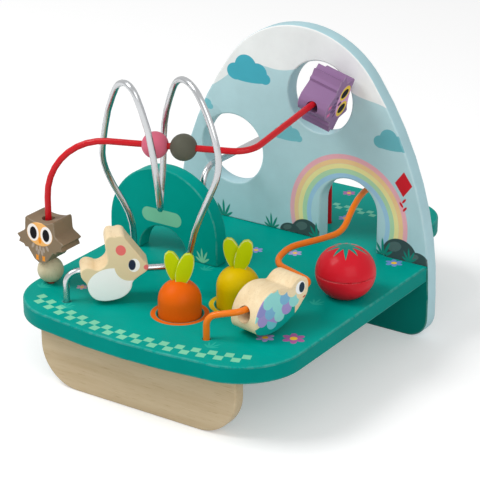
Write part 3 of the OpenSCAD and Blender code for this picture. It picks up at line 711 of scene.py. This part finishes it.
# The border's two rows of squares meet on an arc of radius BOW_ROW about BOW_CENTRE.
BOW_CENTRE, BOW_ROW = 36.0, 300.4
BOW_CELL, BOW_HALF, BOW_SHIFT = 7.1, 110.0, 6.25
SHELF_CELL, SHELF_HALF, SHELF_ROW = 6.0, 84.0, 66.0
RING_REACH, RING_HALF = 22.2, 2.0
HEART, DECK_GRASS, GRASS_SHARE = paint(246, 200, 60), paint(52, 184, 164), 0.6
rings = {"carrot_body": paint(222, 106, 26), "turnip_body": paint(222, 190, 30)}
deck_tufts = [(-118, -228, 13), (-76, -250, 12), (-24, -122, 12),
              (66, -246, 12), (92, -130, 12), (-60, -84, 13)]
deck_flowers = [
    (93, -205.5, 8.0, paint(168, 150, 208)), (113, -194.5, 9.8, paint(176, 100, 160)),
    (104.5, -17.2, 8.0, paint(110, 150, 210)), (-89.6, -207.9, 5.0, paint(196, 160, 180)),
    (-11.3, -59.2, 6.5, paint(150, 150, 215)), (21, -45.9, 6.5, paint(170, 160, 215)),
    (-14, 106.3, 6.5, paint(176, 110, 170)), (15.4, 49.4, 6.5, paint(150, 150, 215)),
]


def crown(node_name):
    """The middle of the top of a solid's box."""
    low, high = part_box(node_name)
    return Vector(((low.x + high.x) / 2, (low.y + high.y) / 2, high.z))


print("deck prints:", len(rings), "rings", len(deck_tufts), "tufts", len(deck_flowers), "flowers")

# %% Deck artwork
def deck_borders(tree, lay, place, colour):
    """The checked border along the bow and the checked row on the shelf."""
    facing_front = vector_sum(tree, "MULTIPLY", place, (-1, -1, 0))
    out, angle = polar(tree, facing_front, (0, -BOW_CENTRE, 0))
    angle = sum_of(tree, "SUBTRACT", angle, math.pi / 2)
    bow = {"Along": sum_of(tree, "MULTIPLY_ADD", angle, BOW_ROW, BOW_SHIFT), "Cell": BOW_CELL,
           "Across": sum_of(tree, "SUBTRACT", out, BOW_ROW - BOW_CELL), "Half length": BOW_HALF}
    colour = lay(colour, placed(tree, checks, bow)["Mask"], paint(128, 208, 172))
    parts = split(tree, place)
    shelf = {"Along": parts[0], "Cell": SHELF_CELL,
             "Across": sum_of(tree, "SUBTRACT", parts[1], SHELF_ROW), "Half length": SHELF_HALF}
    return lay(colour, placed(tree, checks, shelf)["Mask"], paint(120, 205, 178))


def deck_artwork(tree, colour):
    """Borders, rings, tufts and flowers on the deck's top face, and painted shade as a darker teal elsewhere."""
    deck_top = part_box("deck")[1].z
    place, top = printed_face(tree, (0, 0, deck_top), RIGHT, BACK, UP)
    lay = printer(tree, top)
    # All but the top face gets the darker teal, as painted shade.
    colour = deck_borders(tree, lay, place, over(tree, SHADED_TEAL_SIDE, top, colour))
    for vegetable, tint in rings.items():
        centre = crown(vegetable) / MM
        out = vector_sum(tree, "DISTANCE", place, (centre.x, centre.y, 0))
        from_ring = sum_of(tree, "ABSOLUTE", sum_of(tree, "SUBTRACT", out, RING_REACH))
        colour = lay(colour, step_down(tree, sum_of(tree, "SUBTRACT", from_ring, RING_HALF)), tint)
    for x, y, height in deck_tufts:
        grass = sum_of(tree, "MULTIPLY", tuft_mask(tree, place, x, y, height), GRASS_SHARE)
        colour = lay(colour, grass, DECK_GRASS)
    for x, y, reach, tint in deck_flowers:
        bloom = placed(tree, flower, {"Place": place, "Centre": (x, y, 0), "Reach": reach})
        colour = lay(colour, bloom["Petals"], tint)
        colour = lay(colour, bloom["Heart"], HEART)
    return colour


dress(["deck"], painted("deck_paint", TEAL, artwork=deck_artwork, **teal_film))

# %% [markdown]
# ## Back panel
# The panel's front is printed with a quiet sky: a pale wavy band along the top, plain
# clouds, a rainbow band over the doorway, round bushes and grass at the deck, and a
# small red kite. Below the deck the front is teal, laid darker than the deck's teal as
# painted shade under the deck. Each shape is one of the groups above, laid over the
# sky in turn, as a printer lays one ink over another.

# %% Where the panel's prints lie, in millimetres
SKY, HAZE, BAND = paint(176, 211, 218), paint(196, 222, 224), paint(237, 239, 238)
BUSH, BUSH_LIGHT, GRASS = paint(62, 84, 84), paint(86, 110, 108), paint(28, 140, 124)
# The teal below the deck is darker than the deck's, as painted shade under the deck.
KITE, SHADED_TEAL_LOW = paint(205, 36, 48), paint(0, 120, 110)
HAZE_LOW, HAZE_HIGH, HAZE_SHARE = 70.0, 250.0, 0.45
BAND_HEIGHT, BAND_SWELL, BAND_WAVES, BAND_BOW = 226.0, 4.0, 0.085, -0.0032
RAINBOW_CENTRE, RAINBOW_REACH, STRIPE = (51.5, 96.0, 0), 60.0, 4.4
KITE_CENTRE, KITE_HALF, KITE_SLOPE, KITE_EDGE = (106, 140, 0), 11.5, 1.35, 0.4
TAIL_RADII, GRASS_FOOT, TEAL_TOP = (2.8, 1.1), 69, 69.5
rainbow_tints = [paint(238, 176, 186), paint(244, 204, 150), paint(240, 228, 160),
                 paint(178, 216, 176), paint(160, 200, 226)]
panel_clouds = [(-54, 214, 46, paint(72, 172, 190)), (92, 176, 34, paint(105, 178, 188)),
                (-12, 164, 30, paint(118, 188, 198)), (-104, 176, 24, paint(118, 190, 200))]
bushes = [(-118, 74, 17, 12), (-96, 72, 14, 9), (8, 73, 15, 13),
          (-8, 71, 11, 8), (104, 74, 17, 15), (122, 71, 11, 9)]
panel_tufts = [(-128, 15), (-80, 17), (-28, 15), (20, 16), (88, 17), (114, 13)]
tail_bows = [((107, 125), 0.9), ((104.5, 121), -0.9), ((108, 117.5), 0.9)]
print("panel prints:", len(panel_clouds), "clouds", len(bushes), "bushes", len(panel_tufts), "tufts")

# %% Panel sky
def panel_sky(tree, lay, place, colour):
    """Haze, the wavy band, the clouds and the rainbow."""
    x, z = split(tree, place)[:2]
    haze = spread(tree, z, low=HAZE_LOW, high=HAZE_HIGH)
    colour = lay(colour, sum_of(tree, "MULTIPLY", haze, HAZE_SHARE), HAZE)
    swell = sum_of(tree, "SINE", sum_of(tree, "MULTIPLY", x, BAND_WAVES))
    band = sum_of(tree, "SUBTRACT", sum_of(tree, "MULTIPLY_ADD", swell, BAND_SWELL, BAND_HEIGHT), z)
    bow = sum_of(tree, "MULTIPLY", sum_of(tree, "MULTIPLY", x, x), BAND_BOW)
    colour = lay(colour, step_down(tree, sum_of(tree, "ADD", band, bow)), BAND)
    for cloud_x, cloud_z, width, tint in panel_clouds:
        puff = placed(tree, cloud, {"Place": place, "Centre": (cloud_x, cloud_z, 0), "Width": width})["Mask"]
        colour = lay(colour, puff, tint)
    out = vector_sum(tree, "DISTANCE", place, RAINBOW_CENTRE)
    for i, tint in enumerate(rainbow_tints):
        outer = step_down(tree, sum_of(tree, "SUBTRACT", out, RAINBOW_REACH - STRIPE * i))
        inner = step_down(tree, sum_of(tree, "SUBTRACT", out, RAINBOW_REACH - STRIPE * (i + 1)))
        colour = lay(colour, sum_of(tree, "SUBTRACT", outer, inner), tint)
    return colour


print("rainbow stripes:", len(rainbow_tints))

# %% Panel artwork, from the sky down to the deck
def panel_ground(tree, lay, place, colour):
    """Bushes and grass along the deck."""
    for x, z, rx, rz in bushes:
        shine = ((x - 0.3 * rx, z + 0.45 * rz), (0.42 * rx, 0.3 * rz), 0.35, BUSH_LIGHT)
        colour = with_ovals(tree, lay, place, colour, [((x, z), (rx, rz), 0.0, BUSH), shine])
    for x, height in panel_tufts:
        colour = lay(colour, tuft_mask(tree, place, x, GRASS_FOOT, height), GRASS)
    return colour


def panel_kite(tree, lay, place, colour):
    """A red kite with three bows on its tail."""
    from_middle = vector_sum(tree, "ABSOLUTE", vector_sum(tree, "SUBTRACT", place, KITE_CENTRE))
    across, up = split(tree, from_middle)[:2]
    sail = sum_of(tree, "SUBTRACT", sum_of(tree, "MULTIPLY_ADD", across, KITE_SLOPE, up), KITE_HALF)
    colour = lay(colour, step_down(tree, sail, KITE_EDGE), KITE)
    return with_ovals(tree, lay, place, colour, [(bow, TAIL_RADII, turn, KITE) for bow, turn in tail_bows])


def panel_artwork(tree, colour):
    """The printed sky on the panel's front face, and the teal below the deck, darkened as painted shade."""
    front_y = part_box("back_panel")[0].y
    place, front = printed_face(tree, (0, front_y, 0), RIGHT, UP, FRONT)
    lay = printer(tree, front)
    for layer in (panel_sky, panel_ground, panel_kite):
        colour = layer(tree, lay, place, colour)
    # Below the deck the front takes the darker teal, as painted shade.
    above_deck = sum_of(tree, "SUBTRACT", split(tree, place)[1], TEAL_TOP)
    return lay(colour, step_down(tree, above_deck), SHADED_TEAL_LOW)


dress(["back_panel"], painted("panel_print", SKY, rough=0.42, wear_and_highlight=0.25, artwork=panel_artwork))

# %% [markdown]
# ## Tunnel arch
# The arch is painted like the deck. Its front carries a plain light green patch with
# round ends and a tuft of grass low on the right. The patch is every place that lies
# within a short reach of a level line, which gives it its round ends.

# %% Arch artwork
ARCH_TEAL, PATCH, ARCH_GRASS = paint(0, 156, 144), paint(126, 200, 165), paint(140, 214, 176)
PATCH_X, PATCH_Z, PATCH_HALF, PATCH_REACH = -76.0, 104.4, 14.4, 6.6
ARCH_TUFT = (-33, 71, 13)


def arch_artwork(tree, colour):
    """A bare light patch and one tuft of grass on the arch's front."""
    front_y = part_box("tunnel_arch")[0].y
    place, front = printed_face(tree, (0, front_y, 0), RIGHT, UP, FRONT)
    lay = printer(tree, front)
    x, z = split(tree, place)[:2]
    aside = sum_of(tree, "ABSOLUTE", sum_of(tree, "SUBTRACT", x, PATCH_X))
    past_line = sum_of(tree, "MAXIMUM", sum_of(tree, "SUBTRACT", aside, PATCH_HALF), 0.0)
    out = distance(tree, past_line, sum_of(tree, "SUBTRACT", z, PATCH_Z))
    colour = lay(colour, step_down(tree, sum_of(tree, "SUBTRACT", out, PATCH_REACH)), PATCH)
    return lay(colour, tuft_mask(tree, place, *ARCH_TUFT), ARCH_GRASS)


dress(["tunnel_arch"], painted("arch_paint", ARCH_TEAL, artwork=arch_artwork, **teal_film))

# %% [markdown]
# ## Front foot and cream bead
# The foot is a plain board of pale wood under a clear coat, and the lowest bead is
# turned from the same kind of wood. Grain runs along the board and up the bead, so
# the wood's streaks are stretched in X for the one and in Z for the other.

# %% Dress the foot and the cream bead
ALONG_FOOT, UP_BEAD = (0.07, 1.0, 1.0), (1.0, 1.0, 0.2)
dress(["front_foot"], clear_wood("foot_wood", paint(200, 182, 150), paint(186, 165, 131), ALONG_FOOT))
dress(["cream_bead"], clear_wood("cream_bead_wood", paint(214, 204, 174), paint(196, 183, 149), UP_BEAD))

# %% [markdown]
# ## Wires
# Two wires are bright plated steel and two have a gloss coating. Steel wire keeps
# fine marks from drawing and bending, so the roughness and a slight relief follow a
# noise texture, while the base stays metal. The coating is smooth with a soft gloss.

# %% Wire finishes
bright_wire, tree, shader = new_finish("bright_wire")
spot = node(tree, "ShaderNodeTexCoord").outputs["Object"]
marks = noise(tree, spot, scale=420.0, detail=5.0, rough=0.7)
dulled = noise(tree, spot, scale=30.0, detail=3.0)
feed(tree, shader, {"Base Color": over(tree, paint(184, 186, 188), dulled, paint(212, 214, 216)),
                    "Metallic": 1.0, "Roughness": spread(tree, marks, to_low=0.14, to_high=0.3),
                    "Normal": fine_relief(tree, marks, strength=0.08, depth=0.2 * MM)})
dress(["loop_wire", "back_wire"], bright_wire)
coating = {"rough": 0.3, "wear_and_highlight": 0.0, "coat": 0.3, "relief": 0.06}
dress(["red_wire"], painted("red_coating", paint(200, 22, 32), **coating))
dress(["orange_wire"], painted("orange_coating", paint(238, 122, 24), **coating))

# %% [markdown]
# ## Beads, vegetables and tomato
# These are turned wood under satin or gloss paint. The tomato's top carries a painted
# star of leaves about its axis, which turns with it. The star is measured from the
# middle of the tomato's crown, so that it stays in the middle at every turn.

# %% Turned and painted pieces
dress(["pink_bead"], painted("pink_paint", paint(210, 104, 126), rough=0.38))
dress(["grey_bead"], painted("grey_paint", paint(94, 94, 82), rough=0.4))
dress(["carrot_body"], painted("carrot_paint", paint(228, 98, 10), rough=0.4))
dress(["turnip_body"], painted("turnip_paint", paint(224, 188, 0), rough=0.4))
dress(["carrot_leaves", "turnip_leaves"], painted("leaf_paint", paint(188, 203, 0), rough=0.4, wear_and_highlight=0.8))

# %% Tomato and its axle
TOMATO, TOMATO_LEAF, STAR_REACH = paint(208, 28, 43), paint(8, 142, 126), 18.5
UP_AXLE = (1.0, 1.0, 0.1)
tomato_film = {"rough": 0.32, "wear_and_highlight": 0.2, "coat": 0.12}


def tomato_artwork(tree, colour):
    """A star of leaves on the crown of the tomato."""
    on_crown = {"Origin": crown("tomato_top"), "Across": RIGHT, "Up": BACK, "Out": UP}
    place = placed(tree, face_place, on_crown)["Place"]
    leaves = placed(tree, star, {"Place": place, "Centre": MIDDLE, "Reach": STAR_REACH})["Mask"]
    return over(tree, colour, leaves, TOMATO_LEAF)


dress(["tomato_top"], painted("tomato_paint", TOMATO, artwork=tomato_artwork, **tomato_film))
dress(["tomato_base"], painted("tomato_base_paint", TOMATO, **tomato_film))
axle = frame["nodes"]["tomato_axle"]
axle.data.materials.clear()
axle.data.materials.append(clear_wood("axle_wood", paint(220, 204, 168), paint(196, 172, 130), UP_AXLE))
print("axle finish:", axle.data.materials[0].name)

# %% [markdown]
# ## Owls
# Both owls are one sawn shape with a painted face: a soft mask, two ringed eyes, a
# beak, breast feathers and feet. The face is drawn on the flat front only, in the
# owl's own directions and size, so that the same drawing serves the standing brown
# owl and the larger purple one that lies along its wire.

# %% Owl artwork, in millimetres from the owl's middle
OWL_HALF_T, OWL_PAINT_DEPTH = 12.5, 0.5
FEATHER_RADII, FEATHER_LEAN = (1.2, 2.6), 0.06
TOE_RADII, TOE_LEAN = (1.0, 2.6), 0.45
owl_feathers = [(-7.6, -5.2), (-3.6, -7.2), (0, -6.4), (3.6, -7.2), (7.6, -5.2), (-1.8, -10.2), (1.8, -10.2)]


def owl_shapes(tints):
    """The ovals of an owl's face, from the lowest layer to the top one."""
    shapes = [((0, 6.2), (13.6, 10.4), 0, tints["mask"])]
    for side in (-1, 1):
        shapes.append(((7.1 * side, 6.6), (6.1, 7.7), 0, tints["ring"]))
        shapes.append(((6.7 * side, 6.3), (3.7, 5.6), 0, tints["pupil"]))
    shapes.append(((0, 0.6), (1.6, 2.9), 0, tints["beak"]))
    for x, y in owl_feathers:
        shapes.append(((x, y), FEATHER_RADII, FEATHER_LEAN * x, tints["feather"]))
    for side in (-1, 1):
        for lean in (side, -side):
            shapes.append(((3.4 * side, -15.2), TOE_RADII, TOE_LEAN * lean, tints["foot"]))
    return shapes


def owl_artwork(origin, across, up, out, tints, share=1.0):
    """Returns an artwork that paints an owl's face on its front, larger by a share."""
    def artwork(tree, colour):
        """The owl's paint with its face over it."""
        place, front = printed_face(tree, origin, across, up, out, share * OWL_HALF_T - OWL_PAINT_DEPTH)
        own_place = scaled(tree, place, 1 / share)
        return with_ovals(tree, printer(tree, front), own_place, colour, owl_shapes(tints))
    return artwork


print("feathers on an owl:", len(owl_feathers))

# %% Brown owl
OWL_EARS = 19.5 * MM
owl_film = {"rough": 0.45, "wear_and_highlight": 0.3}
brown_tints = {"mask": paint(243, 182, 108), "ring": paint(246, 240, 236), "pupil": paint(18, 18, 22),
               "beak": paint(238, 142, 30), "feather": paint(168, 152, 138), "foot": paint(236, 146, 48)}
brown_middle = crown("brown_owl") - OWL_EARS * Vector(UP)
brown_face = owl_artwork(brown_middle, RIGHT, UP, FRONT, brown_tints)
dress(["brown_owl"], painted("brown_owl_paint", paint(136, 117, 94), artwork=brown_face, **owl_film))

# %% Purple owl
PURPLE_SHARE = 1.12


def slide_way(joint_name):
    """The direction of a slide, as the frame's joints give it."""
    return next(Vector(joint["axis"]) for joint in frame["joints"] if joint["name"] == joint_name)


purple_tints = {"mask": paint(222, 162, 206), "ring": paint(236, 200, 70), "pupil": paint(22, 14, 26),
                "beak": paint(92, 60, 96), "feather": paint(108, 76, 116), "foot": paint(220, 110, 160)}
purple_low, purple_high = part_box("purple_owl")
purple_middle = (purple_low + purple_high) / 2
# The owl lies on its wire: its head points against its slide and its side points up.
purple_up = -slide_way("purple_owl_slide")
purple_side = Vector((0.29549, -0.11092, 0.94888))
purple_out = purple_up.cross(purple_side)
purple_face = owl_artwork(purple_middle, purple_side, purple_up, purple_out, purple_tints, PURPLE_SHARE)
dress(["purple_owl"], painted("purple_owl_paint", paint(145, 112, 151), artwork=purple_face, **owl_film))

# %% [markdown]
# ## Bunny and bird
# These two are sawn from pale wood and painted on their flat faces only, so the sawn
# sides stay bare. The bunny gets a tan coat, a white belly, a pink ear and nose and a
# dark eye. The bird gets a wing of coloured scales and a teal belly. All is measured
# from the bore, along the wire and up, so that the paint keeps its place on the animal.

# %% Bunny artwork
PALE_WOOD, DARK_WOOD = paint(242, 222, 184), paint(228, 202, 158)
ANIMAL_PAINT_DEPTH = 0.55
BUNNY_HALF_T, BUNNY_GRAIN = 12.5, (0.3, 0.3, 1.0)
bunny_bore = Vector((-53.42, -212.28, 95.55)) * MM
COAT, WHITE_FUR = paint(232, 212, 170), paint(255, 255, 252)
bunny_shapes = [
    ((0, 0), (90, 90), 0, COAT), ((-2.0, -8.2), (19.6, 15.4), 0.1, WHITE_FUR),
    ((13.6, 9.0), (12.6, 13.6), 0, COAT), ((23.5, 6.4), (5.4, 5.0), 0, COAT),
    ((17.2, 9.0), (4.8, 5.9), 0, WHITE_FUR), ((15.6, 9.4), (3.0, 4.7), 0, paint(34, 44, 66)),
    ((27.4, 6.8), (2.3, 2.3), 0, paint(235, 120, 120)), ((6.6, 22.8), (4.1, 4.7), 0.4, paint(240, 116, 112)),
]


def both_faces(tree, bore, run, half_t):
    """The place on an upright animal about its bore, and a mask for its two flat faces."""
    on_side = {"Origin": bore, "Across": run, "Up": UP, "Out": run.cross(Vector(UP))}
    face = placed(tree, face_place, on_side)
    depth = sum_of(tree, "ABSOLUTE", face["Depth"])
    return face["Place"], sum_of(tree, "GREATER_THAN", depth, half_t - ANIMAL_PAINT_DEPTH)


def bunny_artwork(tree, colour):
    """The bunny's coat, belly, eye, nose and ear."""
    place, flat = both_faces(tree, bunny_bore, slide_way("bunny_slide"), BUNNY_HALF_T)
    return with_ovals(tree, printer(tree, flat), place, colour, bunny_shapes)


dress(["bunny"], clear_wood("bunny_wood", PALE_WOOD, DARK_WOOD, BUNNY_GRAIN, bunny_artwork))

# %% Bird belly and wing
BELLY, BELLY_DROP, BELLY_SLOPE, BELLY_END = paint(0, 158, 146), 8.0, -0.22, 41.5
WING_LEAN, WING_TURN, FEATHER_CELL = 0.45, 0.06, 11.6
WING_CENTRE, WING_RADII = Vector((15.5, 5.6, 0.0)), (25.5, 14.5, 1)
wing_tints = [paint(150, 148, 205), paint(112, 196, 206), paint(150, 218, 214),
              paint(128, 182, 214), paint(168, 150, 206)]


def belly_mask(tree, place):
    """The bird's underside, below a sloping line and short of the head."""
    x, y = split(tree, place)[:2]
    slope = sum_of(tree, "MULTIPLY_ADD", x, BELLY_SLOPE, sum_of(tree, "ADD", y, BELLY_DROP))
    before_head = step_down(tree, sum_of(tree, "SUBTRACT", x, BELLY_END))
    return sum_of(tree, "MULTIPLY", step_down(tree, slope), before_head)


def wing_feathers(tree, place):
    """A mask of the whole scales that make the wing, and each scale's colour."""
    leaning = {"Vector": place, "Angle": WING_LEAN}
    wing_place = node(tree, "ShaderNodeVectorRotate", leaning, rotation_type="Z_AXIS").outputs[0]
    feathers = placed(tree, scales, {"Place": wing_place, "Cell": FEATHER_CELL})
    wing = {"Place": feathers["Middle"], "Centre": Matrix.Rotation(WING_LEAN, 3, "Z") @ WING_CENTRE,
            "Radii": WING_RADII, "Turn": WING_LEAN - WING_TURN}
    ramp = node(tree, "ShaderNodeValToRGB", {"Fac": feathers["Pick"]})
    stops = ramp.color_ramp.elements
    ramp.color_ramp.interpolation = "CONSTANT"
    for i, tint in enumerate(wing_tints):
        start = i / len(wing_tints)
        stop = stops[i] if i < len(stops) else stops.new(start)
        stop.position = start
        stop.color = tint
    whole = sum_of(tree, "GREATER_THAN", placed(tree, oval, wing)["Mask"], 0.5)
    return whole, ramp.outputs["Color"]


print("wing tints:", len(wing_tints))

# %% Bird artwork
BIRD_HALF_T, BIRD_GRAIN = 14.0, (1.0, 0.25, 1.0)
bird_bore = Vector((80.66, -214.65, 90.96)) * MM
bird_shapes = [((47.6, 12.6), (5.4, 5.6), 0, paint(250, 250, 248)),
               ((49.2, 12.4), (3.2, 4.5), 0, paint(30, 52, 68)),
               ((52.0, 3.6), (1.7, 0.7), 0.3, paint(190, 40, 40))]


def bird_artwork(tree, colour):
    """The bird's belly, wing, eye and beak."""
    place, flat = both_faces(tree, bird_bore, slide_way("bird_slide"), BIRD_HALF_T)
    lay = printer(tree, flat)
    colour = lay(colour, belly_mask(tree, place), BELLY)
    colour = lay(colour, *wing_feathers(tree, place))
    return with_ovals(tree, lay, place, colour, bird_shapes)


dress(["bird"], clear_wood("bird_wood", PALE_WOOD, DARK_WOOD, BIRD_GRAIN, bird_artwork))
